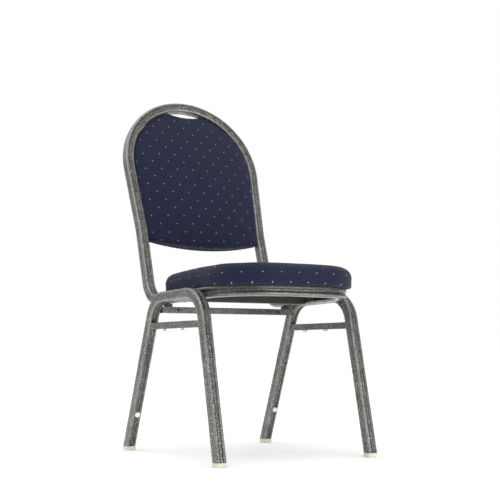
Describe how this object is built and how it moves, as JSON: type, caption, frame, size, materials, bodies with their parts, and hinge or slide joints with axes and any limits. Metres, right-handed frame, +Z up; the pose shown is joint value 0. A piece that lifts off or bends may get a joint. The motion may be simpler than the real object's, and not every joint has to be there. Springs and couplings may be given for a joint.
{
  "type": "stacking chair",
  "caption": "Dome-back stacking banquet chair: grooved square steel tube frame, padded navy seat and back with small woven dots.",
  "frame": {"origin": "on the floor under the middle of the chair's outline", "axes": "+Z up, the front of the chair faces -Y, +X to the right of someone looking at its front"},
  "size_m": [0.424, 0.6045, 0.9185],
  "materials": {
    "frame_paint": "hammered silver-vein powder coat, dark grey with fine light veins",
    "glide_plastic": "moulded ivory polyethylene",
    "button_plastic": "moulded white nylon",
    "clear_plastic": "moulded translucent polyethylene",
    "plywood": "sanded poplar plywood, bare",
    "foam": "cut polyurethane foam",
    "seat_cloth": "flat woven navy upholstery cloth with small cream dots",
    "back_cloth": "flat woven navy upholstery cloth with small pale dots",
    "lining_cloth": "black spun-bonded lining",
    "zinc_steel": "bright zinc plated",
    "clip_plastic": "moulded black nylon"
  },
  "bodies": {
    "root": {"back_hoop": "frame_paint", "seat_bow": "frame_paint", "left_leg_frame": "frame_paint", "right_leg_frame": "frame_paint", "left_stretcher": "frame_paint", "right_stretcher": "frame_paint", "rear_cross_bar": "frame_paint", "seat_cross_member": "frame_paint", "left_spacer": "frame_paint", "right_spacer": "frame_paint", "back_lugs": "frame_paint", "front_left_glide": "glide_plastic", "front_right_glide": "glide_plastic", "rear_left_glide": "glide_plastic", "rear_right_glide": "glide_plastic", "left_stack_button": "button_plastic", "right_stack_button": "button_plastic", "left_stretcher_bumpers": "clear_plastic", "right_stretcher_bumpers": "clear_plastic", "seat_board": "plywood", "back_board": "plywood", "rear_panel": "plywood", "seat_foam": "foam", "back_foam": "foam", "seat_cover": "seat_cloth", "back_front_cover": "back_cloth", "rear_panel_cover": "back_cloth", "seat_lining": "lining_cloth", "seat_screws": "zinc_steel", "seat_t_nuts": "zinc_steel", "back_screws": "zinc_steel", "back_t_nuts": "zinc_steel", "panel_clips": "clip_plastic"}
  },
  "joints": []
}
